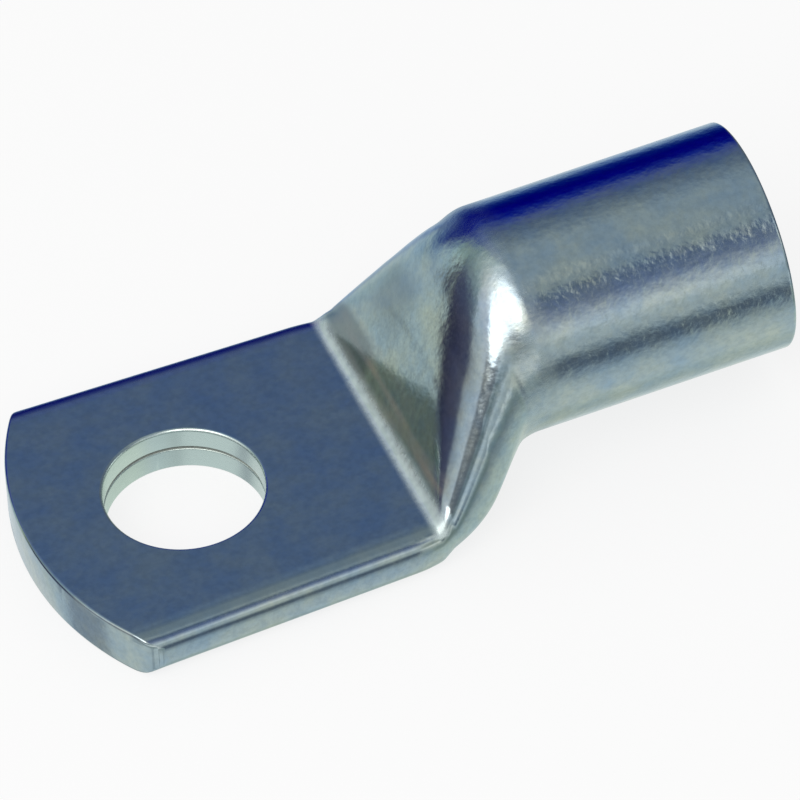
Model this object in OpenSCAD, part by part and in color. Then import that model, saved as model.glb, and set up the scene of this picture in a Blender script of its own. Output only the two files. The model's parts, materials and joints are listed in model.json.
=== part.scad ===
// Tubular cable lug for a crimped power cable: one length of copper tube, left round
// at the barrel and pressed flat at the palm, with a stud hole punched through both walls.
// Frame: the origin is the centre of the stud hole on the palm's underside, the barrel
// points along +X, and +Z is up.

/* [Barrel] */
// Outside diameter of the tube
tube_d = 19; // [16:0.1:24]
// Wall of the tube
wall = 2; // [1.2:0.1:2.5]
// Length of the barrel, from the shoulder to the mouth
barrel_l = 24.2; // [14:0.2:40]
// Height of the barrel's underside above the palm's underside
barrel_rise = 1.8; // [0.4:0.1:4]
// Bevel on the outside edge of the mouth
mouth_bevel = 0.3; // [0.1:0.05:0.6]
// Lead-in on the inside edge of the mouth
lead_in = 0.4; // [0.1:0.05:0.8]

/* [Palm] */
// Width of the palm where its sides start to turn in to the neck
palm_w = 27.3; // [24:0.1:34]
// Width that the palm gains towards its tip for each millimetre of length
palm_flare = 0.068; // [0:0.002:0.1]
// Gap left between the two pressed walls
seam = 0.2; // [0.1:0.05:0.4]
// Diameter of the stud hole
stud_d = 13; // [8:0.5:15]
// Break on the punched edge of the stud hole
stud_break = 0.2; // [0.1:0.05:0.4]
// Distance from the stud hole to the crest of the tip
tip_reach = 13.5; // [11:0.5:22]
// Radius of the tip's shallow arc
tip_r = 25.5; // [20:0.5:40]
// Rounding of the tip's two corners
tip_corner_r = 1.4; // [0.6:0.1:4]
// How far short of the tip the seam stops, where the crop has pinched it shut
tip_seal = 0.8; // [0.4:0.1:1]

/* [Neck] */
// Distance from the stud hole to the crease across the palm
crease_x = 16.8; // [13:0.1:22]
// Length of the ramp from the crease to the shoulder
ramp_l = 8.5; // [6:0.1:14]
// Half the length over which the crease is rounded
crease_blend = 0.4; // [0.2:0.1:1]
// Half the length over which the shoulder is rounded
shoulder_blend = 2.6; // [1:0.1:3.5]
// Where the underside starts to lift, measured from the crease
heel_start = 0.6; // [-1:0.1:2]
// Length over which the underside lifts to the barrel
heel_l = 6.7; // [5:0.1:8]
// Half the length over which both ends of the heel are rounded
heel_blend = 2.6; // [1:0.1:3]
// Where the sides start to turn in, measured from the crease
waist_start = 1.5; // [0:0.1:3]
// Length over which the sides run in to the barrel
waist_l = 7.5; // [6:0.1:10]
// Half the length over which the sides turn in at the palm
waist_blend = 4; // [2:0.1:6]
// Half the length of the tight turn where the sides meet the barrel
corner_blend = 0.5; // [0.3:0.1:1]
// Length of the ramp's flat, a triangle that runs from the crease to a point below the shoulder
flat_l = 5.2; // [4:0.1:12]
// Sag of the widest line below mid-height, as a share of the height, halfway up the neck
side_sag = 0.28; // [0:0.01:0.35]

/* [Hidden] */
$fn = 96;

tube_r = tube_d / 2;
socket_r = tube_r - wall;
palm_t = 2 * wall + seam;
axis_z = barrel_rise + tube_r;
mouth_x = crease_x + ramp_l + barrel_l;
// Amount by which a cutting solid runs past the face that it opens
over = 1;
// The last ring of a loft lies this far inside the turned tube that it meets
ring_inset = 0.01;
// Least half width of a flat, so that no two points of a ring meet
least_flat = 0.02;
// Segments in a quarter of an outer ring and of an inner ring
outer_steps = 10;
inner_steps = 6;
// Longest step between two rings along the neck
ring_pitch = 0.35;

// Corners of the lines on the outside of the tube, as [x, value]: its top, its underside, its
// half width, and the half width of its flats
top_a = [crease_x, palm_t];
top_b = [crease_x + ramp_l, axis_z + tube_r];
heel_a = [crease_x + heel_start, 0];
heel_b = [heel_a.x + heel_l, barrel_rise];
side_a = [crease_x + waist_start, palm_w / 2];
side_b = [side_a.x + waist_l, tube_r];
flat_a = [crease_x, palm_w / 2 + palm_flare / 2 * waist_start - palm_t / 2];
// Where the sides leave the palm, and where the neck has become the round tube
neck_start = min(side_a.x - waist_blend, heel_a.x - heel_blend);
neck_end = max(top_b.x + shoulder_blend, heel_b.x + heel_blend, side_b.x + corner_blend);

// ---------- lines that the neck follows ----------

// A line through p that turns from slope m0 to slope m1, rounded over blend on each side
function turn(x, p, m0, m1, blend) =
    x <= p.x - blend ? p.y + m0 * (x - p.x) :
    x >= p.x + blend ? p.y + m1 * (x - p.x) :
    p.y + m0 * (x - p.x) + (m1 - m0) * pow(x - p.x + blend, 2) / (4 * blend);

// A line that comes in with slope m0 to a, runs straight to b, and stays level after b
function two_turns(x, a, b, m0, blend_a, blend_b) =
    let (m = (b.y - a.y) / (b.x - a.x))
    x < b.x - blend_b ? turn(x, a, m0, m, blend_a) : turn(x, b, m, 0, blend_b);

// How far along X the corners of a line lie apart on the two faces of the wall
function corner_shift(a, b) = wall * tan(atan(abs(b.y - a.y) / (b.x - a.x)) / 2);

// The three lines on the outside (depth 0) and the inside (depth 1) of the wall
function top_at(x, depth) =
    let (step = depth * [corner_shift(top_a, top_b), -wall])
    two_turns(x, top_a + step, top_b + step, 0, crease_blend, shoulder_blend);
function heel_at(x, depth) =
    let (step = depth * [-corner_shift(heel_a, heel_b), wall])
    two_turns(x, heel_a + step, heel_b + step, 0, heel_blend, heel_blend);
function side_at(x, depth) =
    let (step = depth * [-corner_shift(side_a, side_b), -wall])
    two_turns(x, side_a + step, side_b + step, -palm_flare / 2, waist_blend, corner_blend);

// Half the height of the section, which is the radius of a round fold
function rise_at(x, depth) = (top_at(x, depth) - heel_at(x, depth)) / 2;

// Half width of the flats. On the palm they leave room for round folds, and on the ramp they
// run to a point, so the folds there are wider than they are high.
function flat_at(x, depth) =
    let (run = x - depth * corner_shift(top_a, top_b) - flat_a.x)
    max(min(side_at(x, depth) - rise_at(x, depth), flat_a.y * (1 - run / flat_l)), least_flat);

// How square a fold is: 2 where it is round, and more where it is wider than it is high
function squareness_at(x) = 1 + (side_at(x, 0) - flat_at(x, 0)) / rise_at(x, 0);

// Height of the widest line: mid-height at the palm and the barrel, and lower in between
function widest_at(x) =
    let (lo = heel_at(x, 0), hi = top_at(x, 0), pressed = (tube_d - hi + lo) / (tube_d - palm_t))
    lo + (hi - lo) * (0.5 - 4 * side_sag * pressed * (1 - pressed));

// ---------- rings and lofts ----------

// The closed section of the tube at x: two flats joined by four quarters of rounded squares
function ring(x, depth, steps, inset = 0) =
    let (lo = heel_at(x, depth) + inset,
         hi = top_at(x, depth) - inset,
         half = side_at(x, depth) - inset,
         flat = flat_at(x, depth),
         z = min(max(widest_at(x), lo + seam / 4), hi - seam / 4),
         power = 2 / squareness_at(x))
    [for (q = [0 : 3], i = [0 : steps - q % 2])
        let (a = 90 * (q + i / steps),
             side = q == 0 || q == 3 ? 1 : -1,
             rise = q < 2 ? hi - z : lo - z)
        [x, side * (flat + (half - flat) * pow(abs(cos(a)), power)), z + rise * pow(abs(sin(a)), power)]];

// Places from one knot to the next, in equal steps no longer than the pitch
function stations(knots) =
    [for (k = [0 : len(knots) - 2])
        let (gap = knots[k + 1] - knots[k], n = max(2, ceil(gap / ring_pitch)))
        for (i = [0 : n - 1]) knots[k] + gap * i / n];

// All rings of the outside (depth 0) or the inside (depth 1), from past the tip to the tube
function rings(depth, steps) =
    let (shift = depth * corner_shift(top_a, top_b),
         crease = top_a.x + shift,
         shoulder = top_b.x + shift,
         end = neck_end + shift)
    concat([ring(-tip_reach - over, depth, steps)],
           [for (x = stations([neck_start - shift, crease - crease_blend, crease,
                               crease + crease_blend, shoulder - shoulder_blend, end]))
               ring(x, depth, steps)],
           [ring(end, depth, steps, ring_inset)]);

// A closed solid through rings that all have the same number of points
module loft(rings) {
    n = len(rings[0]);
    last = (len(rings) - 1) * n;
    polyhedron(
        points = [for (r = rings) each r],
        faces = concat(
            [[for (i = [0 : n - 1]) i]],
            [for (k = [0 : len(rings) - 2], i = [0 : n - 1])
                let (j = (i + 1) % n, a = k * n, b = a + n)
                each [[a + i, b + i, a + j], [a + j, b + i, b + j]]],
            [[for (i = [n - 1 : -1 : 0]) last + i]]));
}

// ---------- the lug ----------

// Plan of the lug: a shallow arc across the tip, two small round corners, and sides that
// stay just clear of the palm's own folded edges
module plan() {
    side = side_at(-tip_reach + tip_corner_r, 0) + ring_inset;
    arc_x = tip_r - tip_reach;
    corner_y = side - tip_corner_r;
    corner_x = arc_x - sqrt(pow(tip_r - tip_corner_r, 2) - pow(corner_y, 2));
    meet = atan2(corner_y, arc_x - corner_x);
    tip = [for (i = [-12 : 12]) let (a = 180 - meet * i / 12) [arc_x + tip_r * cos(a), tip_r * sin(a)]];
    corner = [for (i = [0 : 8]) let (a = 180 - meet - (90 - meet) * i / 8)
        [corner_x + tip_corner_r * cos(a), corner_y + tip_corner_r * sin(a)]];
    polygon(concat(tip, corner, [[mouth_x, side], [mouth_x, -side]],
                   [for (i = [8 : -1 : 0]) [corner[i].x, -corner[i].y]]));
}

// An upright block with the lug's plan, drawn in all round by an inset
module block(inset = 0) {
    translate([0, 0, -over]) linear_extrude(height = axis_z + tube_r + 2 * over)
        offset(delta = -inset) plan();
}

// A round bar along the barrel's axis from x0 to x1
module bar(x0, x1, r0, r1) {
    translate([x0, 0, axis_z]) rotate([0, 90, 0]) cylinder(h = x1 - x0, r1 = r0, r2 = r1);
}

// The pressed palm and neck, cut to plan, with the round barrel behind them
module outside() {
    intersection() {
        loft(rings(0, outer_steps));
        block();
    }
    bar(neck_end, mouth_x - mouth_bevel, tube_r, tube_r);
    bar(mouth_x - mouth_bevel, mouth_x, tube_r, tube_r - mouth_bevel);
}

// The socket for the conductor, which closes down to the seam between the pressed walls.
// The seam stops short of the tip.
module inside() {
    socket_start = neck_end + corner_shift(top_a, top_b);
    intersection() {
        loft(rings(1, inner_steps));
        block(tip_seal);
    }
    bar(socket_start, mouth_x + over, socket_r, socket_r);
    bar(mouth_x - lead_in, mouth_x + over, socket_r, socket_r + lead_in + over);
}

// The punched hole for the stud, broken on its upper edge
module stud_hole() {
    translate([0, 0, -over]) cylinder(h = palm_t + 2 * over, d = stud_d);
    translate([0, 0, palm_t - stud_break])
        cylinder(h = stud_break + over, r1 = stud_d / 2, r2 = stud_d / 2 + stud_break + over);
}

module cable_lug() {
    color([0.63, 0.68, 0.71])
    difference() {
        outside();
        inside();
        stud_hole();
    }
}

cable_lug();
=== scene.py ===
# %% [markdown]
# # A tubular cable lug
#
# A cable lug is one length of copper tube. One end stays round and is crimped on to a cable. The
# other end is pressed flat, punched for a stud and cropped, and the whole lug is then tin-plated.
# This lesson makes it the same way: draw a round tube, press it, crop it, punch it and plate it.
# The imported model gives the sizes, so every face lands where the working part has it.

# %% Load the frame
import json
from math import atan, atan2, ceil, cos, hypot, pi, radians, sin, sqrt, tan

import bmesh
import bpy
from mathutils import Matrix, Vector, noise


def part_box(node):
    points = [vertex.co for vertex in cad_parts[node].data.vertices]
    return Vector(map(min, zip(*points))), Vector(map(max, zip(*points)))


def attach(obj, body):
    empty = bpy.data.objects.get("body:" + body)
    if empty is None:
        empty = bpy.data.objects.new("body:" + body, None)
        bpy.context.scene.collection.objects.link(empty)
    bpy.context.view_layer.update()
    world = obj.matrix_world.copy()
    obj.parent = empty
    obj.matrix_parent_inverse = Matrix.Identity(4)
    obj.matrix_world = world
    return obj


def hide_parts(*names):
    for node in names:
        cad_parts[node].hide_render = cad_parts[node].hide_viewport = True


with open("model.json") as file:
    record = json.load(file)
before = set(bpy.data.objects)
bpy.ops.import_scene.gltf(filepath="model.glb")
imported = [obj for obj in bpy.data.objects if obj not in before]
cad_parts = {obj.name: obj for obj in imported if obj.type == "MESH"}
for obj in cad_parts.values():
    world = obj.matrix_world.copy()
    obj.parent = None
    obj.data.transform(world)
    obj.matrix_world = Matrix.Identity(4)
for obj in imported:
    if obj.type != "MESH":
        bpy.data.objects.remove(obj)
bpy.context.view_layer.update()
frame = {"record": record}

# %% [markdown]
# ## Sizes
#
# A lug is chosen by its stud, its conductor and the tube that it is made from. These sizes could be
# typed in again, but they are read from the model, so that the two can't drift apart. The lines of
# the pressed neck are a maker's choice, so they are named here. All are in millimetres, which read
# easily, and the finished mesh is scaled to metres at the end.

# %% Sizes
METRE = 1000  # millimetres
low_corner, high_corner = [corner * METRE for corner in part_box("cable_lug")]
mounts = {mount["name"]: mount for mount in frame["record"]["mounts"]}

tip_x = low_corner.x
mouth_x = high_corner.x
axis_z = mounts["conductor_socket"]["pos_m"][2] * METRE
stud_r = mounts["stud_hole"]["dims"]["r_mm"]
socket_r = mounts["conductor_socket"]["dims"]["r_mm"]
palm_t = mounts["palm_top"]["pos_m"][2] * METRE
tube_r = high_corner.z - axis_z
wall = tube_r - socket_r
seam = palm_t - 2 * wall

# The palm, its crease and its cropped tip
palm_w = 27.3
palm_flare = 0.068
tip_r = 25.5
tip_corner_r = 1.4
tip_seal = 0.8
crease_x = 16.8
crease_blend = 0.4
# The neck: its ramp on top, its heel below, its waist at the sides, and the ramp's flat
ramp_l = 8.5
shoulder_blend = 2.6
heel_start = 0.6
heel_l = 6.7
heel_blend = 2.6
waist_start = 1.5
waist_l = 7.5
waist_blend = 4
corner_blend = 0.5
flat_l = 5.2
side_sag = 0.28
# How square the palm's folds are (2 is round), and the length over which that fades on the ramp
fold_square = 2.8
fold_square_l = 2.0

# Corners of the three lines on the outside of the tube
top_a = Vector((crease_x, palm_t))
top_b = Vector((crease_x + ramp_l, axis_z + tube_r))
heel_a = Vector((crease_x + heel_start, 0))
heel_b = Vector((heel_a.x + heel_l, axis_z - tube_r))
side_a = Vector((crease_x + waist_start, palm_w / 2))
side_b = Vector((side_a.x + waist_l, tube_r))
flat_half = palm_w / 2 + palm_flare / 2 * waist_start - palm_t / 2
neck_start = side_a.x - waist_blend
neck_end = top_b.x + shoulder_blend
print(f"tube {2 * tube_r:.1f} mm, palm {palm_t:.1f} mm, neck {neck_start:.1f} to {neck_end:.1f} mm")

# %% [markdown]
# ## The lines of the neck
#
# The neck is where the press turned a round tube into a flat palm. It could be sculpted by eye, but
# then no size could be set. Here three lines say what the press did: the top, the underside and the
# half width. Each comes in nearly level, runs down a slope and leaves level, with its two turns
# rounded. The inside of the wall follows the same lines one wall further in. The ramp's flat is a
# triangle, as wide as the palm at the crease, that runs to a point below the shoulder. The folds
# beside it are wider than they are high, so they are drawn a little squarer than an ellipse.

# %% Lines of the neck
def turn(x, corner, slope_in, slope_out, blend):
    """Height at x of a line that turns at a corner, rounded over blend on each side."""
    run = x - corner.x
    if run <= -blend:
        return corner.y + slope_in * run
    if run >= blend:
        return corner.y + slope_out * run
    return corner.y + slope_in * run + (slope_out - slope_in) * (run + blend) ** 2 / (4 * blend)


def two_turns(x, a, b, slope_in, blend_a, blend_b):
    """Height at x of a line that comes in to a, runs straight to b and stays level after b."""
    slope = (b.y - a.y) / (b.x - a.x)
    if x < b.x - blend_b:
        return turn(x, a, slope_in, slope, blend_a)
    return turn(x, b, slope, 0, blend_b)


def corner_step(a, b, along, across):
    """Step from a corner on the outside of the wall to the same corner on its inside."""
    shift = wall * tan(atan(abs(b.y - a.y) / (b.x - a.x)) / 2)
    return Vector((along * shift, across * wall))


def outline(x, depth):
    """Low, high, half width and half width of the flats at x; depth 1 is inside the wall."""
    step = depth * corner_step(top_a, top_b, 1, -1)
    high = two_turns(x, top_a + step, top_b + step, 0, crease_blend, shoulder_blend)
    flat = flat_half * (1 - (x - step[0] - crease_x) / flat_l)
    step = depth * corner_step(heel_a, heel_b, -1, 1)
    low = two_turns(x, heel_a + step, heel_b + step, 0, heel_blend, heel_blend)
    step = depth * corner_step(side_a, side_b, -1, -1)
    half = two_turns(x, side_a + step, side_b + step, -palm_flare / 2, waist_blend, corner_blend)
    return low, high, half, max(min(flat, half - (high - low) / 2), 0)


def section(x, depth):
    """The outline at x, with its widest height and how square its folds are (2 is round)."""
    low, high, half, flat = outline(x, depth)
    out_low, out_high, out_half, out_flat = outline(x, 0)
    height = out_high - out_low
    pressed = (2 * tube_r - height) / (2 * tube_r - palm_t)
    widest = out_low + height * (0.5 - 4 * side_sag * pressed * (1 - pressed))
    on_palm = min(max(1 - (x - crease_x) / fold_square_l, 0), 1)
    squareness = max(1 + (out_half - out_flat) / (height / 2), 2 + (fold_square - 2) * on_palm)
    return low, high, half, flat, min(max(widest, low + seam / 4), high - seam / 4), squareness


print("section at the crease:", [round(size, 2) for size in section(crease_x, 0)])

# %% [markdown]
# ## Where a point of the tube goes
#
# A shape key from a round tube to a flat one would move every point along a straight line, and the
# wall would come out thin at the folds. A press doesn't stretch a tube round its girth, so a point
# keeps its share of the girth here, while the section under it changes from a circle to two flats
# joined by two tight folds. The share that a fold takes shrinks with the height of the section.

# %% Press
def pressed_point(x, girth, depth):
    """The place at x of the point that lies at a share (0 to 1) of the girth."""
    low, high, half, flat, widest, squareness = section(x, depth)
    quarter = (high - low) / (8 * (tube_r - depth * wall))
    from_side = girth % 0.5
    if from_side < quarter:
        angle, along = pi / 2 * from_side / quarter, 1
    elif from_side > 0.5 - quarter:
        angle, along = pi - pi / 2 * (0.5 - from_side) / quarter, -1
    else:
        angle, along = pi / 2, 1 - 2 * (from_side - quarter) / (0.5 - 2 * quarter)
    upper = girth < 0.5
    rise = high - widest if upper else widest - low
    side = 1 if upper else -1
    power = 2 / squareness
    across = (half - flat) * abs(cos(angle)) ** power
    if cos(angle) < 0:
        across = -across
    return Vector((x, side * (along * flat + across), widest + side * rise * sin(angle) ** power))


print("widest point of the palm:", pressed_point(0, 0, 0))

# %% [markdown]
# ## Drawing the tube
#
# The tube comes off a drawing bench as a plain round shell. A cylinder with a fixed number of cuts
# would do for a straight tube, but the press needs many rings in the neck and few elsewhere. So a
# circle is extruded along the axis, ring by ring, with the rings close together where the wall
# will bend and further apart where nothing changes. The socket gets a tube of its own.

# %% Draw
AROUND = 256


def stations(knots, pitches):
    """Places of the rings, in equal steps no longer than each stretch's pitch."""
    places = [knots[0]]
    for start, end, pitch in zip(knots, knots[1:], pitches):
        steps = ceil((end - start) / pitch)
        places += [start + (end - start) * (i + 1) / steps for i in range(steps)]
    return places


def edges_at(verts):
    """Every edge at the vertices, once each, in the order in which it is met."""
    return list(dict.fromkeys(edge for vert in verts for edge in vert.link_edges))


def extrude_ring(bm, edges):
    """Extrudes a closed ring of edges and returns the new ring's vertices and edges."""
    grown = bmesh.ops.extrude_edge_only(bm, edges=edges)["geom"]
    verts = [item for item in grown if isinstance(item, bmesh.types.BMVert)]
    edges = [item for item in grown if isinstance(item, bmesh.types.BMEdge)]
    fresh = set(verts)
    return verts, [edge for edge in edges if fresh.issuperset(edge.verts)]


def draw_tube(bm, radius, places):
    """Extrudes a circle through the places and returns the vertices of every ring."""
    turned = Matrix.Translation((places[0], 0, axis_z)) @ Matrix.Rotation(pi / 2, 4, "Y")
    circle = bmesh.ops.create_circle(bm, segments=AROUND, radius=radius, matrix=turned)
    rings = [circle["verts"]]
    edges = edges_at(rings[0])
    for here, there in zip(places, places[1:]):
        ring, edges = extrude_ring(bm, edges)
        bmesh.ops.translate(bm, vec=(there - here, 0, 0), verts=ring)
        rings.append(ring)
    return rings


def girth_of(vert):
    """Share of the girth at which a vertex of the round tube lies, from its +Y side."""
    return (atan2(vert.co.z - axis_z, vert.co.y) / (2 * pi)) % 1


# The crop's plan: a shallow arc across the tip, and a small round corner at each side
arc_x = tip_x + tip_r
tip_half = high_corner.y
corner_y = tip_half - tip_corner_r
corner_reach = tip_r - tip_corner_r
corner_x = arc_x - sqrt(corner_reach ** 2 - corner_y ** 2)

FIRST_RING = corner_x + 0.6
OUTER_PITCHES = (0.8, 0.15, 0.3)  # palm, neck, barrel
INNER_PITCHES = (30, 0.4, 5)

bm = bmesh.new()
outer_knots = (FIRST_RING, neck_start, neck_end, mouth_x)
outer_places = [tip_x] + stations(outer_knots, OUTER_PITCHES)
outer_rings = draw_tube(bm, tube_r, outer_places)
inner_step = corner_step(top_a, top_b, 1, -1).x
inner_knots = (FIRST_RING, neck_start - inner_step, neck_end + inner_step, mouth_x)
inner_places = [tip_x + tip_seal] + stations(inner_knots, INNER_PITCHES)
inner_rings = draw_tube(bm, socket_r, inner_places)
print(f"outer skin {len(outer_rings)} rings, inner skin {len(inner_rings)} rings")

# %% [markdown]
# ## Pressing it flat
#
# A lattice or a Simple Deform modifier can squash a tube, but neither keeps to the lines above. So
# each vertex is moved from its place on the round tube to its place on the pressed section, and the
# mesh keeps the even grid that it was drawn with.

# %% Press both skins
girths = {}
for rings, places, depth in ((outer_rings, outer_places, 0), (inner_rings, inner_places, 1)):
    for ring, x in zip(rings, places):
        for vert in ring:
            girths[vert] = girth_of(vert)
            vert.co = pressed_point(x, girths[vert], depth)
print("pressed", len(girths), "points")

# %% [markdown]
# ## Cropping the tip
#
# The crop cuts the tip to a shallow arc and pinches the two walls shut. A Boolean could cut it, but
# it would leave slivers where the arc meets the folds, and a bevel can't round those. So the end
# ring is set back on the palm by the width of the edge's rounding. It is then extruded round the
# edge and down the cut face to mid-height, where its upper and lower halves are welded.

# %% Crop
EDGE_ROUND = 0.3
EDGE_STEPS = 4


def crop_x(y, inset):
    """Where the crop's outline, drawn in by an inset, crosses the line at y."""
    arc = tip_r - inset
    if abs(y) < corner_y * arc / corner_reach:
        return arc_x - sqrt(arc ** 2 - y ** 2)
    past = abs(y) - corner_y
    return corner_x - sqrt(max((tip_corner_r - inset) ** 2 - past ** 2, 0))


def crop_ring(bm, ring, depth, inset, edge_round, steps):
    """Takes an end ring round the cropped edge and closes it at mid-height."""
    seats = {}
    for vert in ring:
        girth = girths[vert]
        edge = pressed_point(crop_x(vert.co.y, inset), girth, depth)
        back = pressed_point(crop_x(edge.y, inset + edge_round), girth, depth)
        widest = section(edge.x, depth)[4]
        drop = max(min(edge.z - widest, edge_round), -edge_round)
        seats[girth] = (back, edge, edge - Vector((0, 0, drop)), widest)
        vert.co = back
    loop = [edge for edge in edges_at(ring) if edge.is_boundary]
    for step in range(1, steps + 2):
        new, loop = extrude_ring(bm, loop)
        fresh = set(loop)
        for vert in new:
            below = next(edge.other_vert(vert) for edge in vert.link_edges if edge not in fresh)
            girths[vert] = girths[below]
        for vert in new:
            back, edge, under, widest = seats[girths[vert]]
            share = min(step / steps, 1) if steps else 1
            vert.co = back * (1 - share) ** 2 + edge * 2 * share * (1 - share) + under * share ** 2
            if step == steps + 1:
                vert.co.z = widest
    return new


closed = crop_ring(bm, outer_rings[0], 0, 0, EDGE_ROUND, EDGE_STEPS)
closed += crop_ring(bm, inner_rings[0], 1, tip_seal, 0, 0)
bmesh.ops.remove_doubles(bm, verts=closed, dist=1e-4)
print("open edges left:", sum(edge.is_boundary for edge in bm.edges), "(the two mouth rings)")

# %% [markdown]
# ## The mouth
#
# The saw leaves a square ring between the outside and the socket. A Solidify modifier would close
# it too, but it can't follow two different skins, so the two end rings are bridged. Then the outer
# edge is broken a little, and the inner edge gets the lead-in that guides the conductor's strands.

# %% Mouth
MOUTH_BEVEL = 0.16
LEAD_IN = 0.4


def ring_edges(ring):
    """The edges that join the vertices of one ring."""
    members = set(ring)
    return [edge for edge in edges_at(ring) if members.issuperset(edge.verts)]


mouth_outer = ring_edges(outer_rings[-1])
mouth_inner = ring_edges(inner_rings[-1])
bmesh.ops.bridge_loops(bm, edges=mouth_outer + mouth_inner)
bmesh.ops.recalc_face_normals(bm, faces=bm.faces)
bmesh.ops.bevel(bm, geom=mouth_inner, offset=LEAD_IN, segments=2, profile=0.5,
                affect="EDGES", material=-1, clamp_overlap=False)
bmesh.ops.bevel(bm, geom=mouth_outer, offset=MOUTH_BEVEL, segments=3, profile=0.5,
                affect="EDGES", material=-1, clamp_overlap=False)
print("closed:", all(edge.is_manifold for edge in bm.edges), "faces:", len(bm.faces))

# %% [markdown]
# ## Flat faces
#
# The palm's faces and the two sides of the seam are dead flat. A dissolve by angle could also eat
# into the shallow folds, so the faces are chosen by their height instead, and the many small ones
# at each level become one. The punch then meets a single face, and its rim comes out clean.

# %% Dissolve the flats
FLAT = 1e-4  # millimetres out of level


def dissolve_flat(bm, level):
    """Joins all level faces at a height into one."""
    flat = [face for face in bm.faces
            if all(abs(vert.co.z - level) < FLAT for vert in face.verts)
            and face.calc_center_median().x < crease_x]
    bmesh.ops.dissolve_faces(bm, faces=flat)
    return len(flat)


for level in (0, wall, wall + seam, palm_t):
    print(f"level {level:.1f}: {dissolve_flat(bm, level)} faces joined")

# %% [markdown]
# ## Punching the stud hole
#
# The hole goes through both walls and the seam. It could be built from rings of faces, but a round
# punch through the finished palm is one Boolean with a plain cylinder, just as in the workshop. The
# punch draws the metal down where it enters, so that rim gets the widest rounding. The rim where it
# leaves and the edges of the seam inside the hole are only broken.

# %% Punch
RIM_ROUND = 0.28
EXIT_ROUND = 0.1
SEAM_ROUND = 0.1
PUNCH_SIDES = 128
PUNCH_OVER = 2
ON_RIM = 0.01


def add_object(name, bm):
    """Writes a bmesh to a new object in the scene."""
    mesh = bpy.data.meshes.new(name)
    bm.to_mesh(mesh)
    bm.free()
    obj = bpy.data.objects.new(name, mesh)
    bpy.context.scene.collection.objects.link(obj)
    return obj


lug = add_object("plated_lug", bm)
punch_bm = bmesh.new()
bmesh.ops.create_cone(punch_bm, cap_ends=True, segments=PUNCH_SIDES, radius1=stud_r,
                      radius2=stud_r, depth=palm_t + 2 * PUNCH_OVER,
                      matrix=Matrix.Translation((0, 0, palm_t / 2)))
punch = add_object("punch", punch_bm)
cut = lug.modifiers.new("punch", "BOOLEAN")
cut.operation = "DIFFERENCE"
cut.solver = "EXACT"
cut.object = punch
depsgraph = bpy.context.evaluated_depsgraph_get()
punched = bpy.data.meshes.new_from_object(lug.evaluated_get(depsgraph))
lug.modifiers.clear()
lug.data = punched
bpy.data.objects.remove(punch)
print("after the punch:", len(punched.vertices), "vertices,", len(punched.polygons), "faces")

# %% Break the punched edges
bm = bmesh.new()
bm.from_mesh(lug.data)


def rim_edges(bm, level):
    """Edges of the punched hole at a height."""
    def on_rim(vert):
        off_bore = abs(hypot(vert.co.x, vert.co.y) - stud_r)
        return abs(vert.co.z - level) < FLAT and off_bore < ON_RIM

    return [edge for edge in bm.edges if all(on_rim(vert) for vert in edge.verts)]


for level, size, steps in ((palm_t, RIM_ROUND, 4), (0, EXIT_ROUND, 2),
                           (wall, SEAM_ROUND, 1), (wall + seam, SEAM_ROUND, 1)):
    rim = rim_edges(bm, level)
    bmesh.ops.bevel(bm, geom=rim, offset=size, segments=steps, profile=0.5,
                    affect="EDGES", material=-1, clamp_overlap=False)
    print(f"rim at {level:.1f}: {len(rim)} edges broken by {size} mm")

# %% [markdown]
# ## A hand-pressed skin
#
# No press leaves a perfect surface. A bump could fake that, but a mirror shows the true shape, so
# the barrel and the neck get a real slow swell of up to a fiftieth of a millimetre, always inwards.
# It is far too small to see as a shape, but it makes the reflections on the metal wander the way
# they do on a real lug. The palm's flats lay on the press and stay flat.

# %% Swell
SWELL_DEPTH = 0.02
SWELL_LENGTH = 4.5
SWELL_STRETCH = 2.2
LEVEL_NORMAL = 0.9999


def swell(bm):
    """Moves the curved outer skin in by a slow noise."""
    bm.normal_update()
    moved = 0
    for vert in bm.verts:
        radial = Vector((0, vert.co.y, vert.co.z - axis_z))
        on_flat = abs(vert.normal.z) > LEVEL_NORMAL and vert.co.x < crease_x
        inside = vert.normal.dot(radial) < 0 and vert.co.x > neck_start
        if on_flat or inside or vert.co.x < corner_x:
            continue
        place = Vector((vert.co.x / SWELL_STRETCH, vert.co.y, vert.co.z)) / SWELL_LENGTH
        depth = SWELL_DEPTH * (0.5 + 0.5 * noise.noise(place))
        vert.co -= vert.normal * depth
        moved += 1
    return moved


print("swell moved", swell(bm), "points")

# %% [markdown]
# ## The finished mesh
#
# The mesh goes to metres, and every face is shaded smooth. Plain smooth shading would let the folds
# tilt the light on the palm, so a Weighted Normal modifier lets the large flat faces keep theirs.

# %% Finish the mesh
bmesh.ops.scale(bm, vec=Vector((1, 1, 1)) / METRE, verts=bm.verts)
for face in bm.faces:
    face.smooth = True
print("closed:", all(edge.is_manifold for edge in bm.edges))
bm.to_mesh(lug.data)
bm.free()
weighted = lug.modifiers.new("flat faces stay flat", "WEIGHTED_NORMAL")
weighted.mode = "FACE_AREA"
weighted.weight = 50
print("lug:", len(lug.data.vertices), "vertices,", len(lug.data.polygons), "faces")

# %% [markdown]
# ## Building blocks for the finish
#
# A finish is a tree of nodes. It could be wired up by hand in the shader editor, but it is made in
# code here, so a few short helpers add, set and link the nodes. Two effects come back in every
# part of the finish, a soft band and cloudy patches. Each is a shader group, built once and placed
# wherever it is needed with its own values.

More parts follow.
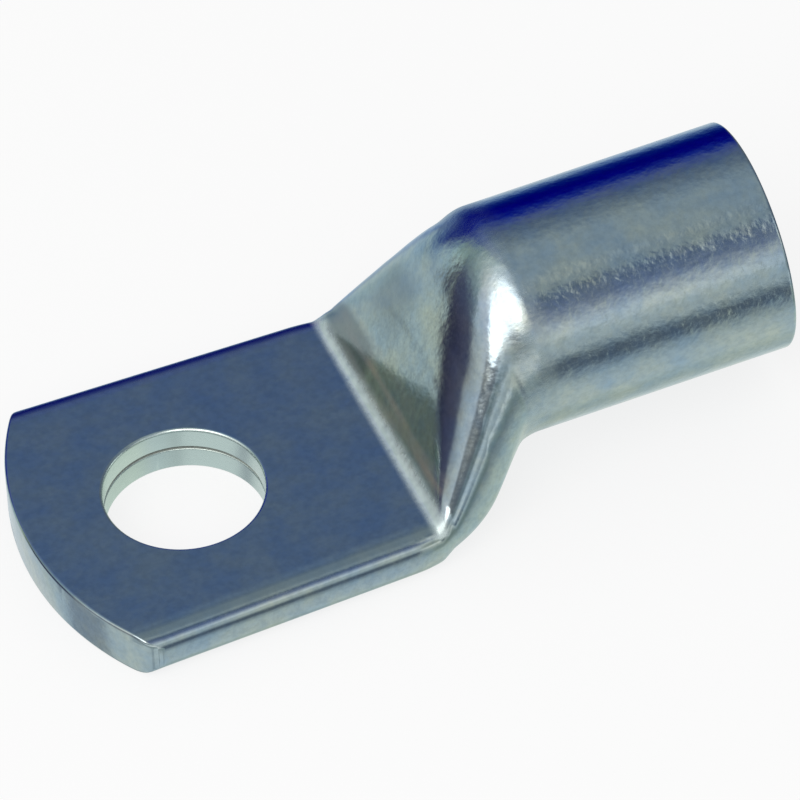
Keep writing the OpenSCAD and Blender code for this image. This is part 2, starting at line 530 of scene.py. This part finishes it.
# %% Node helpers
def add(tree, kind, settings=None, **inputs):
    """Adds a node, sets its options, and links or sets its inputs by name (or _0, _1 ...)."""
    node = tree.nodes.new(kind)
    for name, value in (settings or {}).items():
        setattr(node, name, value)
    for name, value in inputs.items():
        key = int(name[1:]) if name[0] == "_" and name[1:].isdigit() else name.replace("_", " ")
        if isinstance(value, bpy.types.NodeSocket):
            tree.links.new(value, node.inputs[key])
        else:
            node.inputs[key].default_value = value
    return node


def math_node(tree, operation, a, b=0.0):
    """A Math node's result."""
    return add(tree, "ShaderNodeMath", {"operation": operation}, _0=a, _1=b).outputs[0]


def times(tree, a, b):
    """The product of two values."""
    return math_node(tree, "MULTIPLY", a, b)


def remap(tree, value, low, high, start=0.0, end=1.0):
    """Carries a value from the range start to end over to the range low to high."""
    return add(tree, "ShaderNodeMapRange", Value=value, From_Min=start, From_Max=end,
               To_Min=low, To_Max=high).outputs[0]


def distance_from_axis(tree, a, b):
    """Length of the arrow with the two parts a and b."""
    arrow = add(tree, "ShaderNodeCombineXYZ", X=a, Y=b).outputs[0]
    return add(tree, "ShaderNodeVectorMath", {"operation": "LENGTH"}, _0=arrow).outputs["Value"]


def mix_colour(tree, factor, a, b):
    """Colour a where the factor is 0 and b where it is 1."""
    return add(tree, "ShaderNodeMix", {"data_type": "RGBA"}, Factor=factor, _6=a, _7=b).outputs[2]


def start_material(name):
    """A new node material with its Principled shader, Object coordinates and output."""
    material = bpy.data.materials.new(name)
    material.use_nodes = True
    tree = material.node_tree
    tree.nodes.clear()
    shader = add(tree, "ShaderNodeBsdfPrincipled")
    output = add(tree, "ShaderNodeOutputMaterial", Surface=shader.outputs[0])
    place = add(tree, "ShaderNodeTexCoord").outputs["Object"]
    return material, tree, shader, place, output


print("shader inputs to fill:", "Base Color, Metallic, Roughness, Normal")

# %% Shader groups
FLOAT, VECTOR = "NodeSocketFloat", "NodeSocketVector"


def new_group(name, inputs, outputs):
    """An empty shader group with named sockets."""
    group = bpy.data.node_groups.new(name, "ShaderNodeTree")
    for in_out, sockets in (("INPUT", inputs), ("OUTPUT", outputs)):
        for socket_name, kind in sockets:
            group.interface.new_socket(socket_name, in_out=in_out, socket_type=kind)
    given = group.nodes.new("NodeGroupInput").outputs
    return group, given, group.nodes.new("NodeGroupOutput").inputs


def make_band_group():
    """Mask that is 1 at a distance below near and 0 beyond far."""
    group, given, out = new_group(
        "band", [("Distance", FLOAT), ("Near", FLOAT), ("Far", FLOAT)], [("Mask", FLOAT)])
    ramp = add(group, "ShaderNodeMapRange", {"interpolation_type": "SMOOTHSTEP"},
               Value=given["Distance"], From_Min=given["Near"], From_Max=given["Far"],
               To_Min=1.0, To_Max=0.0)
    group.links.new(ramp.outputs[0], out["Mask"])
    return group


def make_cloud_group():
    """Cloudy patches: a noise stretched along a direction and cut to a range."""
    group, given, out = new_group(
        "clouds", [("Vector", VECTOR), ("Stretch", VECTOR), ("Scale", FLOAT), ("Detail", FLOAT),
                   ("Low", FLOAT), ("High", FLOAT)], [("Mask", FLOAT)])
    place = add(group, "ShaderNodeVectorMath", {"operation": "MULTIPLY"},
                _0=given["Vector"], _1=given["Stretch"])
    cloud = add(group, "ShaderNodeTexNoise", Vector=place.outputs[0], Scale=given["Scale"],
                Detail=given["Detail"], Roughness=0.6)
    cut = add(group, "ShaderNodeMapRange", {"interpolation_type": "SMOOTHSTEP"},
              Value=cloud.outputs[0], From_Min=given["Low"], From_Max=given["High"])
    group.links.new(cut.outputs[0], out["Mask"])
    return group


band_group = make_band_group()
cloud_group = make_cloud_group()


def band(tree, distance, near, far):
    """Places the band group and returns its mask."""
    return add(tree, "ShaderNodeGroup", {"node_tree": band_group}, Distance=distance,
               Near=near, Far=far).outputs["Mask"]


def within(tree, value, low, high, fade):
    """Mask that is 1 between two values and fades out softly past them."""
    away = math_node(tree, "ABSOLUTE", math_node(tree, "SUBTRACT", value, (low + high) / 2))
    return band(tree, away, (high - low) / 2, (high - low) / 2 + fade)


def clouds(tree, vector, stretch, scale, detail, low, high):
    """Places the clouds group and returns its mask."""
    return add(tree, "ShaderNodeGroup", {"node_tree": cloud_group}, Vector=vector,
               Stretch=stretch, Scale=scale, Detail=detail, Low=low, High=high).outputs["Mask"]


print("groups:", [group.name for group in bpy.data.node_groups])

# %% [markdown]
# ## Where the skin has been worked, and where light is painted on
#
# A painted highlight runs along the crease, and beside it on the ramp lie a painted brown
# reflection, a painted dark reflection and, further up, a darker patch. The palm's folds get a
# painted dark reflection, the bore is painted paler as a painted reflection, and the seam and the
# socket stay dull. These marks could be painted on an image, but an image slides when a size
# changes. Here each mark is a band between two places on the lug, or a crossing of two bands.

# %% Places of the marks
# Clouds are (stretch, scale, detail, low, high). A stretch under 1 draws them out along that axis,
# and low to high is the range of the noise that becomes 0 to 1.
EVEN = (1.0, 1.0, 1.0)
ALONG_TUBE = (0.12, 1.0, 1.0)
ALONG_CREASE = (1.0, 0.15, 1.0)
# Clouds that break up the painted highlight along the crease
CREASE_HIGHLIGHT_CLOUDS = (EVEN, 1300.0, 3.0, 0.35, 0.65)
# Streaks of the painted brown reflection along the crease
BROWN_REFLECTION_STREAKS = (ALONG_CREASE, 600.0, 1.0, 0.3, 0.75)

# Bands are (from, to, fade) in millimetres. First the crease's painted highlight, which widens from
# the +Y side to the -Y side, and the painted reflections and darker patch on the ramp beside it.
TOP_SIDE = (palm_t - 0.6, 30.0, 0.2)
# Painted highlight along the crease: its place, half widths, fade and weakest share
CREASE_HIGHLIGHT_X = crease_x - 0.04
CREASE_HIGHLIGHT_HALF_WIDTHS = (0.03, 0.16)
CREASE_HIGHLIGHT_FADE = 0.75
CREASE_HIGHLIGHT_BROKEN_TO = 0.75
# Painted brown reflection on the ramp beside the crease
BROWN_REFLECTION_RUN = (crease_x + 0.7, crease_x + 1.2, 1.0)
BROWN_REFLECTION_ACROSS = (-10.5, 10.5, 1.0)
# Painted dark reflection on the ramp beside the crease, towards +Y
DARK_REFLECTION_RUN = (crease_x + 0.7, crease_x + 1.5, 0.5)
DARK_REFLECTION_ACROSS = (5.5, 11.5, 2.0)
# A darker patch further up the ramp
DARKER_PATCH_RUN = (20.4, 21.4, 1.6)
DARKER_PATCH_ACROSS = (4.0, 6.5, 2.5)
# The palm's long folds, with their painted dark reflection, measured from the middle of the palm
# out
PALM_EDGE = palm_w / 2 + palm_flare / 2 * side_a.x
PALM_RUN = (tip_x, crease_x - 1, 1.0)
FOLD_REFLECTION_BAND = (PALM_EDGE - 1.3, PALM_EDGE - 1.0, 0.6)
RUBBED_FOLD = (PALM_EDGE - 1.6, PALM_EDGE, 0.4)
# The shoulder, the drawn barrel and its socket
SHOULDER_RUN = (top_b.x + 1.0, top_b.x + 2.5, 2.0)
DRAWN_RUN = (top_b.x, 60.0, 4.0)
SOCKET_RUN = (neck_end, 60.0, 4.0)
SOCKET_WALL = (0.0, socket_r + 0.2, 0.1)
# The punched bore, painted paler as a painted reflection, and the seam that crosses it
BORE_WALL = (0.0, stud_r + 0.1, 0.1)
SEAM_HEIGHT = (palm_t / 2 - seam / 2, palm_t / 2 + seam / 2, seam / 4)
SEAM_REACH = (0.0, stud_r + 0.8, 0.4)
# The crease mark in this print is the painted highlight, and the stain and grime are painted
# reflections
print(f"crease mark at {CREASE_HIGHLIGHT_X:.2f} mm, stain and grime up to {DARK_REFLECTION_RUN[1]:.1f} mm")


# %% Worked places and painted light
def worked_places_and_painted_light(tree, place):
    """Masks for the places that the press and the punch have worked, and for painted light."""
    in_mm = add(tree, "ShaderNodeVectorMath", {"operation": "SCALE"}, _0=place, Scale=METRE)
    axes = add(tree, "ShaderNodeSeparateXYZ", _0=in_mm.outputs[0]).outputs
    x, y, z = axes["X"], axes["Y"], axes["Z"]
    on_top = within(tree, z, *TOP_SIDE)
    on_palm = times(tree, on_top, within(tree, x, *PALM_RUN))
    flare = times(tree, x, palm_flare / 2)
    far_side = math_node(tree, "ADD", y, flare)
    either_side = math_node(tree, "ADD", math_node(tree, "ABSOLUTE", y), flare)
    off_bore = distance_from_axis(tree, x, y)
    off_tube = distance_from_axis(tree, y, math_node(tree, "SUBTRACT", z, axis_z))
    # Painted highlight along the crease, broken up by clouds
    off_highlight = math_node(tree, "ABSOLUTE", math_node(tree, "SUBTRACT", x, CREASE_HIGHLIGHT_X))
    half_width = remap(tree, y, *CREASE_HIGHLIGHT_HALF_WIDTHS, start=palm_w / 2, end=-palm_w / 2)
    highlight_band = band(tree, off_highlight, half_width, math_node(tree, "ADD", half_width, CREASE_HIGHLIGHT_FADE))
    highlight_breakup = remap(tree, clouds(tree, place, *CREASE_HIGHLIGHT_CLOUDS), CREASE_HIGHLIGHT_BROKEN_TO, 1.0)
    # Painted brown reflection on the ramp, in streaks along the crease
    brown_streaks = clouds(tree, place, *BROWN_REFLECTION_STREAKS)
    brown_band = times(tree, within(tree, x, *BROWN_REFLECTION_RUN), within(tree, y, *BROWN_REFLECTION_ACROSS))
    return {
        "crease_highlight": times(tree, highlight_band, times(tree, on_top, highlight_breakup)),
        "brown_reflection": times(tree, brown_band, brown_streaks),
        # Painted dark reflection beside the crease
        "dark_reflection": times(tree, within(tree, x, *DARK_REFLECTION_RUN), within(tree, y, *DARK_REFLECTION_ACROSS)),
        # A darker patch further up the ramp
        "darker_patch": times(tree, within(tree, x, *DARKER_PATCH_RUN), within(tree, y, *DARKER_PATCH_ACROSS)),
        # Painted dark reflection along the palm's folds
        "folded": times(tree, within(tree, either_side, *FOLD_REFLECTION_BAND), on_palm),
        "rubbed": times(tree, within(tree, far_side, *RUBBED_FOLD), on_palm),
        "shouldered": times(tree, within(tree, x, *SHOULDER_RUN), on_top),
        "drawn": within(tree, x, *DRAWN_RUN),
        "inside": times(tree, within(tree, off_tube, *SOCKET_WALL), within(tree, x, *SOCKET_RUN)),
        # The bore is painted paler, as a painted reflection
        "punched": within(tree, off_bore, *BORE_WALL),
        "seamed": times(tree, within(tree, z, *SEAM_HEIGHT), within(tree, off_bore, *SEAM_REACH)),
    }

# %% [markdown]
# ## Tin plate
#
# Tin plate is a soft, slightly blue metal. It is bright but not a mirror, because it settles in
# tiny cloudy patches over the marks that the drawing die and the press left in the copper. One flat
# metal colour would look like plastic film, so cool and warm patches are mixed first, and then each
# worked place gets its own colour, with painted highlights, painted reflections and a darker patch
# among them. Roughness follows the same places. A shallow bump gives the barrel, which the press
# never smoothed, the uneven relief of drawn copper.

# %% Tin colours
TIN = (0.50, 0.58, 0.60, 1)
TIN_COOL = (0.42, 0.53, 0.62, 1)
TIN_WARM = (0.60, 0.64, 0.57, 1)
TIN_DARK = (0.20, 0.25, 0.28, 1)
# Darker tin for the painted dark reflection beside the crease and the darker patch on the ramp
TIN_DARKENED = (0.26, 0.30, 0.32, 1)
# Worked places and painted light in the order in which they are laid on, each with its share and
# its colour. The crease's highlight, the ramp's brown and dark reflections, the folds' dark
# reflection and the pale bore are painted.
TINTS = (("brown_reflection", 0.7, (0.46, 0.30, 0.20, 1)), ("crease_highlight", 0.9, (0.66, 0.76, 0.74, 1)),
         ("darker_patch", 0.5, TIN_DARKENED), ("dark_reflection", 0.85, TIN_DARKENED),
         ("folded", 0.6, (0.22, 0.28, 0.32, 1)), ("punched", 1.0, (0.72, 0.80, 0.74, 1)),
         ("seamed", 1.0, (0.46, 0.50, 0.46, 1)))
# How much of the bare metal each place loses, and how much rougher it is
LESS_METAL = (("seamed", 1.0), ("crease_highlight", 0.65), ("brown_reflection", 0.35))
ROUGHER = (("crease_highlight", 0.25), ("punched", 0.15), ("rubbed", 0.16), ("shouldered", 0.14),
           ("inside", 0.25), ("seamed", 0.6))
# The tin's own clouds, from large patches to the finest grain
PATCHES = (EVEN, 260.0, 4.0, 0.3, 0.7)
BLOOMS = (EVEN, 900.0, 3.0, 0.35, 0.75)
SPECKLE = (EVEN, 1600.0, 4.0, 0.35, 0.7)
BLOOM_SHARE = 0.5
SPECKLE_SHARE = 0.22
DRAWN_GRAIN = (ALONG_TUBE, 4200.0, 4.0, 0.3, 0.7)
ROUGHNESS = (0.09, 0.15)
# Relief: broad dents and a fine orange peel, with a strength for pressed and one for drawn metal
BROAD_RELIEF = (EVEN, 700.0, 2.0, 0.2, 0.8)
FINE_RELIEF = (EVEN, 2600.0, 4.0, 0.2, 0.8)
BROAD_HEIGHT = 2.0
FINE_HEIGHT = 0.6
BUMP_STRENGTH = (0.10, 0.42)
BUMP_DEPTH = 0.00002
print("tints:", [name for name, share, colour in TINTS])


# %% Tin plate
def make_tin_plate():
    """Bright, slightly clouded tin over drawn and pressed copper, with painted light on worked
    places.
    """
    material, tree, shader, place, _ = start_material("tin_plate")
    at = worked_places_and_painted_light(tree, place)
    tone = mix_colour(tree, clouds(tree, place, *PATCHES), TIN_COOL, TIN_WARM)
    blooms = times(tree, clouds(tree, place, *BLOOMS), BLOOM_SHARE)
    speckle = times(tree, clouds(tree, place, *SPECKLE), SPECKLE_SHARE)
    tone = mix_colour(tree, speckle, mix_colour(tree, blooms, tone, TIN), TIN_DARK)
    for name, share, colour in TINTS:
        tone = mix_colour(tree, times(tree, at[name], share), tone, colour)
    tree.links.new(tone, shader.inputs["Base Color"])

    dull = 0.0
    for name, share in LESS_METAL:
        dull = math_node(tree, "MAXIMUM", dull, times(tree, at[name], share))
    tree.links.new(math_node(tree, "SUBTRACT", 1.0, dull), shader.inputs["Metallic"])

    rough = remap(tree, clouds(tree, place, *DRAWN_GRAIN), *ROUGHNESS)
    for name, more in ROUGHER:
        rough = math_node(tree, "ADD", rough, times(tree, at[name], more))
    tree.links.new(rough, shader.inputs["Roughness"])

    broad = times(tree, clouds(tree, place, *BROAD_RELIEF), BROAD_HEIGHT)
    fine = times(tree, clouds(tree, place, *FINE_RELIEF), FINE_HEIGHT)
    height = math_node(tree, "ADD", broad, fine)
    bump = add(tree, "ShaderNodeBump", Strength=remap(tree, at["drawn"], *BUMP_STRENGTH),
               Distance=BUMP_DEPTH, Height=height)
    tree.links.new(bump.outputs[0], shader.inputs["Normal"])
    return material


tin_plate = make_tin_plate()
lug.data.materials.clear()
lug.data.materials.append(tin_plate)
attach(lug, "root")
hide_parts("cable_lug")
print("material:", tin_plate.name, "with", len(tin_plate.node_tree.nodes), "nodes")

# %% [markdown]
# ## Floor
#
# The lug lies on a large white sheet. A brighter lamp would also turn the sheet white, but it would
# wash out the metal. So part of the sheet's white is laid on for the eye only. It stays white with
# a light shadow and adds no light to the lug. Bright metal shows its whole surroundings, and what
# it sees is set by the light tent in the next step and not by the sheet.

# %% Floor
FLOOR_SIZE = 6.0
FLOOR_COLOUR = (0.95, 0.95, 0.95, 1)
FLOOR_LAID_ON = 0.8


def lay_on_white(tree, shader, output, share):
    """Mixes a share of plain white into what the eye, mirrors and glass see."""
    path = add(tree, "ShaderNodeLightPath").outputs
    seen = math_node(tree, "MAXIMUM", path["Is Camera Ray"], path["Is Glossy Ray"])
    seen = math_node(tree, "MAXIMUM", seen, path["Is Transmission Ray"])
    white = add(tree, "ShaderNodeEmission", Color=(1, 1, 1, 1), Strength=1.0)
    both = add(tree, "ShaderNodeMixShader", Fac=times(tree, seen, share),
               _1=shader.outputs[0], _2=white.outputs[0])
    tree.links.new(both.outputs[0], output.inputs["Surface"])


floor_bm = bmesh.new()
bmesh.ops.create_grid(floor_bm, x_segments=1, y_segments=1, size=FLOOR_SIZE / 2)
floor = add_object("floor", floor_bm)
floor_material, floor_tree, floor_shader, _, floor_output = start_material("pale_sheet")
floor_shader.inputs["Base Color"].default_value = FLOOR_COLOUR
floor_shader.inputs["Roughness"].default_value = 0.9
floor_shader.inputs["Specular IOR Level"].default_value = 0.0
lay_on_white(floor_tree, floor_shader, floor_output, FLOOR_LAID_ON)
floor.data.materials.append(floor_material)
floor.visible_glossy = False
print("floor:", FLOOR_SIZE, "m")

# %% [markdown]
# ## Light tent
#
# Bright metal is best shown inside a tent, so that it has something even to reflect. An environment
# image could stand in for one, but it would say nothing about what hangs where. This tent is a ball
# round the lug that only reflections see. Its cloths hang side by side like the segments of an
# orange, and each has its colours from the ground up. Most are pale below and grey above. The ones
# behind the lug are deep blue, which draws the blue band along the barrel, and a narrow brown and a
# narrow dark one beside them draw the dark ramp and the dark line down the neck.

# %% Cloths
# The colours of each cloth by elevation, in degrees from -90 (straight down) to 90
RIGHT = ((-75, (0.50, 0.58, 0.56)), (-67, (0.62, 0.70, 0.68)), (-55, (0.72, 0.79, 0.76)),
         (-46, (0.64, 0.74, 0.70)), (-38, (0.54, 0.62, 0.59)), (-30, (0.37, 0.43, 0.43)),
         (-8, (0.14, 0.17, 0.21)), (40, (0.14, 0.17, 0.23)), (56, (0.20, 0.26, 0.34)),
         (68, (0.36, 0.43, 0.48)), (76, (0.36, 0.43, 0.48)))
BEHIND = ((-60, (0.74, 0.76, 0.74)), (-38, (0.62, 0.72, 0.80)), (-25, (0.42, 0.54, 0.70)),
          (-16, (0.17, 0.28, 0.52)), (-9, (0.03, 0.08, 0.31)), (-2, (0.00, 0.01, 0.22)),
          (8, (0.00, 0.00, 0.21)), (19, (0.00, 0.00, 0.26)), (27, (0.01, 0.03, 0.33)),
          (36, (0.10, 0.14, 0.36)), (46, (0.115, 0.17, 0.29)), (56, (0.20, 0.27, 0.38)),
          (68, (0.30, 0.38, 0.47)))
BEHIND_LEFT = ((-60, (0.74, 0.76, 0.74)), (-38, (0.66, 0.74, 0.78)), (-25, (0.60, 0.69, 0.72)),
               (-16, (0.54, 0.66, 0.72)), (-10, (0.42, 0.55, 0.62)), (-5, (0.17, 0.26, 0.42)),
               (0, (0.05, 0.08, 0.28)), (8, (0.00, 0.01, 0.22)), (19, (0.00, 0.00, 0.26)),
               (27, (0.01, 0.03, 0.33)), (36, (0.10, 0.14, 0.36)), (68, (0.34, 0.41, 0.54)))
GREEN = ((-30, (0.60, 0.68, 0.70)), (-14, (0.60, 0.69, 0.68)), (-8, (0.42, 0.52, 0.60)),
         (-2, (0.54, 0.66, 0.68)), (6, (0.62, 0.76, 0.72)), (11, (0.54, 0.68, 0.60)),
         (18, (0.39, 0.50, 0.42)), (44, (0.29, 0.40, 0.40)), (60, (0.34, 0.42, 0.48)))
BROWN = ((-30, (0.60, 0.68, 0.70)), (-11, (0.61, 0.70, 0.66)), (-6.5, (0.23, 0.24, 0.21)),
         (2, (0.22, 0.24, 0.22)), (14, (0.21, 0.22, 0.18)), (26, (0.22, 0.26, 0.22)),
         (45, (0.30, 0.40, 0.40)), (60, (0.34, 0.42, 0.48)))
DARK = ((-40, (0.35, 0.40, 0.45)), (-22, (0.10, 0.11, 0.15)), (-13, (0.05, 0.05, 0.10)),
        (-8, (0.04, 0.04, 0.08)), (-3, (0.08, 0.08, 0.14)), (8, (0.11, 0.12, 0.19)),
        (18, (0.26, 0.32, 0.35)), (30, (0.37, 0.48, 0.50)), (45, (0.52, 0.62, 0.66)),
        (60, (0.64, 0.76, 0.76)))
LEFT = ((-40, (0.62, 0.70, 0.73)), (-15, (0.35, 0.38, 0.42)), (2, (0.22, 0.23, 0.27)),
        (10, (0.42, 0.45, 0.48)), (18, (0.60, 0.66, 0.70)), (34, (0.80, 0.82, 0.90)),
        (44, (1.00, 1.00, 1.00)), (75, (0.80, 0.85, 0.90)))
UNDER_LAMP = ((-40, (0.62, 0.70, 0.73)), (-24, (0.36, 0.43, 0.45)), (-12, (0.42, 0.48, 0.50)),
              (-4, (0.85, 0.90, 0.94)), (4, (0.80, 0.86, 0.92)), (10, (0.38, 0.42, 0.44)),
              (18, (0.18, 0.21, 0.24)), (24, (0.17, 0.19, 0.22)), (31, (0.60, 0.60, 0.60)),
              (60, (0.90, 0.90, 0.90)), (80, (0.50, 0.55, 0.60)))
CORNER = ((-40, (0.46, 0.53, 0.56)), (-22, (0.32, 0.39, 0.40)), (-12, (0.42, 0.49, 0.51)),
          (-6, (0.90, 0.96, 0.98)), (4, (0.80, 0.86, 0.94)), (9, (0.40, 0.46, 0.50)),
          (14, (0.21, 0.26, 0.27)), (20, (0.24, 0.30, 0.33)), (27, (0.74, 0.82, 0.86)),
          (34, (1.00, 1.00, 1.00)), (66, (0.90, 0.92, 0.94)))
NEAR_LEFT = ((-60, (0.60, 0.68, 0.70)), (-46, (0.52, 0.60, 0.64)), (-30, (0.39, 0.47, 0.50)),
             (-20, (0.30, 0.38, 0.40)), (-14, (0.34, 0.41, 0.43)), (-9, (0.84, 0.90, 0.92)),
             (-2, (1.00, 1.00, 1.00)), (4, (0.74, 0.80, 0.80)), (10, (0.64, 0.70, 0.73)),
             (14, (0.26, 0.32, 0.34)), (20, (0.54, 0.62, 0.66)), (26, (0.42, 0.47, 0.54)),
             (33, (0.62, 0.66, 0.70)), (42, (1.00, 1.00, 1.00)), (60, (0.80, 0.82, 0.84)))
NEAR = ((-60, (0.61, 0.71, 0.74)), (-46, (0.56, 0.66, 0.70)), (-38, (0.48, 0.57, 0.62)),
        (-31, (0.34, 0.41, 0.47)), (-23, (0.13, 0.17, 0.23)), (-15, (0.11, 0.14, 0.19)),
        (-9, (0.26, 0.32, 0.36)), (-3, (0.50, 0.56, 0.57)), (8, (0.57, 0.64, 0.66)),
        (16, (0.80, 0.86, 0.90)), (22, (0.60, 0.66, 0.75)), (29, (0.40, 0.46, 0.59)),
        (36, (0.20, 0.25, 0.41)), (50, (0.12, 0.17, 0.30)), (60, (0.30, 0.36, 0.42)))
FRONT_LOW = ((-60, (0.62, 0.70, 0.72)), (-45, (0.57, 0.65, 0.69)), (-34, (0.42, 0.50, 0.53)),
             (-22, (0.45, 0.53, 0.52)), (-11, (0.60, 0.66, 0.64)), (-4, (0.92, 0.96, 0.96)),
             (4, (0.42, 0.49, 0.47)), (10, (0.34, 0.38, 0.37)), (25, (0.64, 0.70, 0.70)),
             (32, (0.30, 0.36, 0.46)), (40, (0.17, 0.22, 0.34)), (54, (0.11, 0.16, 0.25)),
             (60, (0.30, 0.36, 0.42)), (67, (0.52, 0.58, 0.60)), (73, (0.42, 0.49, 0.52)))
FRONT = ((-60, (0.62, 0.70, 0.72)), (-42, (0.58, 0.67, 0.66)), (-32, (0.29, 0.36, 0.34)),
         (-23, (0.24, 0.30, 0.29)), (-13, (0.33, 0.40, 0.40)), (-5, (0.52, 0.58, 0.56)),
         (4, (0.33, 0.38, 0.36)), (14, (0.42, 0.50, 0.50)), (26, (0.76, 0.81, 0.81)),
         (38, (0.92, 0.98, 0.99)), (46, (0.85, 0.88, 0.89)), (53, (0.45, 0.52, 0.54)),
         (60, (0.31, 0.38, 0.43)), (67, (0.52, 0.58, 0.60)), (73, (0.42, 0.49, 0.52)))
# The azimuth at which each cloth starts and how softly, in degrees from +X towards +Y
CLOTHS = ((0, 1, RIGHT), (62, 8, BEHIND), (97, 8, BEHIND_LEFT), (124.5, 6.5, GREEN),
          (135.7, 1.4, BROWN), (138.9, 0.6, DARK), (161, 4, LEFT), (202, 6, UNDER_LAMP),
          (249, 4, CORNER), (264, 4, NEAR_LEFT), (279, 4, NEAR), (291, 2, FRONT_LOW),
          (299, 3, FRONT), (311, 5, RIGHT))
print("cloths:", len(CLOTHS))

# %% Tent
TENT_R = 1.0


def colours_by_elevation(tree, elevation, stops):
    """A cloth's colours from straight down to straight up, as a ColorRamp."""
    ramp = add(tree, "ShaderNodeValToRGB", Fac=remap(tree, elevation, 0.0, 1.0, -90.0, 90.0))
    elements = ramp.color_ramp.elements
    elements.remove(elements[1])
    for index, (degrees_up, colour) in enumerate(stops):
        position = degrees_up / 180 + 0.5
        element = elements[0] if index == 0 else elements.new(position)
        element.position, element.color = position, (*colour, 1)
    return ramp.outputs[0]


def make_tent_cloths():
    """Cloths that glow softly, side by side round the lug."""
    material = bpy.data.materials.new("tent_cloths")
    material.use_nodes = True
    tree = material.node_tree
    tree.nodes.clear()
    place = add(tree, "ShaderNodeTexCoord").outputs["Object"]
    unit = add(tree, "ShaderNodeVectorMath", {"operation": "NORMALIZE"}, _0=place)
    axes = add(tree, "ShaderNodeSeparateXYZ", _0=unit.outputs[0]).outputs
    around = math_node(tree, "ARCTAN2", axes["Y"], axes["X"])
    azimuth = math_node(tree, "FLOORED_MODULO", math_node(tree, "DEGREES", around), 360.0)
    elevation = math_node(tree, "DEGREES", math_node(tree, "ARCSINE", axes["Z"]))
    colour = None
    for start, softness, stops in CLOTHS:
        cloth = colours_by_elevation(tree, elevation, stops)
        if colour is None:
            colour = cloth
            continue
        here = add(tree, "ShaderNodeMapRange", {"interpolation_type": "SMOOTHSTEP"}, Value=azimuth,
                   From_Min=start - softness, From_Max=start + softness)
        colour = mix_colour(tree, here.outputs[0], colour, cloth)
    glow = add(tree, "ShaderNodeEmission", Color=colour, Strength=1.0)
    add(tree, "ShaderNodeOutputMaterial", Surface=glow.outputs[0])
    return material


tent_bm = bmesh.new()
bmesh.ops.create_uvsphere(tent_bm, u_segments=48, v_segments=24, radius=TENT_R)
bmesh.ops.reverse_faces(tent_bm, faces=tent_bm.faces)
tent = add_object("light_tent", tent_bm)
for polygon in tent.data.polygons:
    polygon.use_smooth = True
tent.data.materials.append(make_tent_cloths())
for rays in ("camera", "diffuse", "shadow", "transmission", "volume_scatter"):
    setattr(tent, "visible_" + rays, False)
print("tent radius:", TENT_R, "m")

# %% [markdown]
# ## Lamp and world
#
# One hard lamp would draw a hot spot and a black shadow. So a pale world lights the sheet evenly,
# and one large soft lamp at the left front adds a gentle shadow and the white glint on the neck.

# %% Lamp and world
WORLD_COLOUR = (0.66, 0.66, 0.66, 1)
LAMP_WIDTH = 0.62
LAMP_HEIGHT = 0.44
LAMP_DISTANCE = 0.6
LAMP_AZIMUTH = -136
LAMP_ELEVATION = 49
LAMP_POWER = 1.2


def direction(azimuth, elevation):
    """Unit vector from the lug, azimuth in degrees from +X towards +Y."""
    a, e = radians(azimuth), radians(elevation)
    return Vector((cos(a) * cos(e), sin(a) * cos(e), sin(e)))


world = bpy.data.worlds.new("pale_world")
bpy.context.scene.world = world
world.use_nodes = True
world.node_tree.nodes["Background"].inputs["Color"].default_value = WORLD_COLOUR

lug_centre = Vector([(a + b) / 2 for a, b in zip(*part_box("cable_lug"))])
lamp_data = bpy.data.lights.new("soft_lamp", "AREA")
lamp_data.shape = "ELLIPSE"
lamp_data.size = LAMP_WIDTH
lamp_data.size_y = LAMP_HEIGHT
lamp_data.energy = LAMP_POWER
lamp = bpy.data.objects.new("soft_lamp", lamp_data)
bpy.context.scene.collection.objects.link(lamp)
towards = direction(LAMP_AZIMUTH, LAMP_ELEVATION)
lamp.location = lug_centre + towards * LAMP_DISTANCE
lamp.rotation_euler = towards.to_track_quat("Z", "Y").to_euler()
print("lamp at", [round(value, 3) for value in lamp.location])

# %% [markdown]
# ## Camera
#
# A short lens close by would swell the near end of such a small thing. So the lens is long and far
# off, and looks down at the palm from its near side. The camera is placed by the angles of its line
# of sight, a distance and the point that it looks at, which are easier to change than a matrix.

# %% Camera
VIEW_AZIMUTH = -19.73
VIEW_ELEVATION = 46.05
VIEW_ROLL = -4.19
VIEW_DISTANCE = 1.67458
VIEW_AIM = Vector((18.43, -1.09, 7.15)) / METRE
LENS = 944
SENSOR = 36

azimuth, elevation, roll = radians(VIEW_AZIMUTH), radians(VIEW_ELEVATION), radians(VIEW_ROLL)
back = Vector((sin(azimuth) * cos(elevation), -cos(azimuth) * cos(elevation), sin(elevation)))
right = Vector((cos(azimuth), sin(azimuth), 0))
up = back.cross(right)
rolled_right = right * cos(roll) + up * sin(roll)
rolled_up = up * cos(roll) - right * sin(roll)

camera_data = bpy.data.cameras.new("camera")
camera_data.lens = LENS
camera_data.sensor_width = SENSOR
camera = bpy.data.objects.new("camera", camera_data)
bpy.context.scene.collection.objects.link(camera)
camera.matrix_world = (Matrix.Translation(VIEW_AIM + back * VIEW_DISTANCE)
                       @ Matrix((rolled_right, rolled_up, back)).transposed().to_4x4())
bpy.context.scene.camera = camera
bpy.context.scene.view_settings.view_transform = "Standard"
print("camera at", [round(value, 3) for value in camera.location])
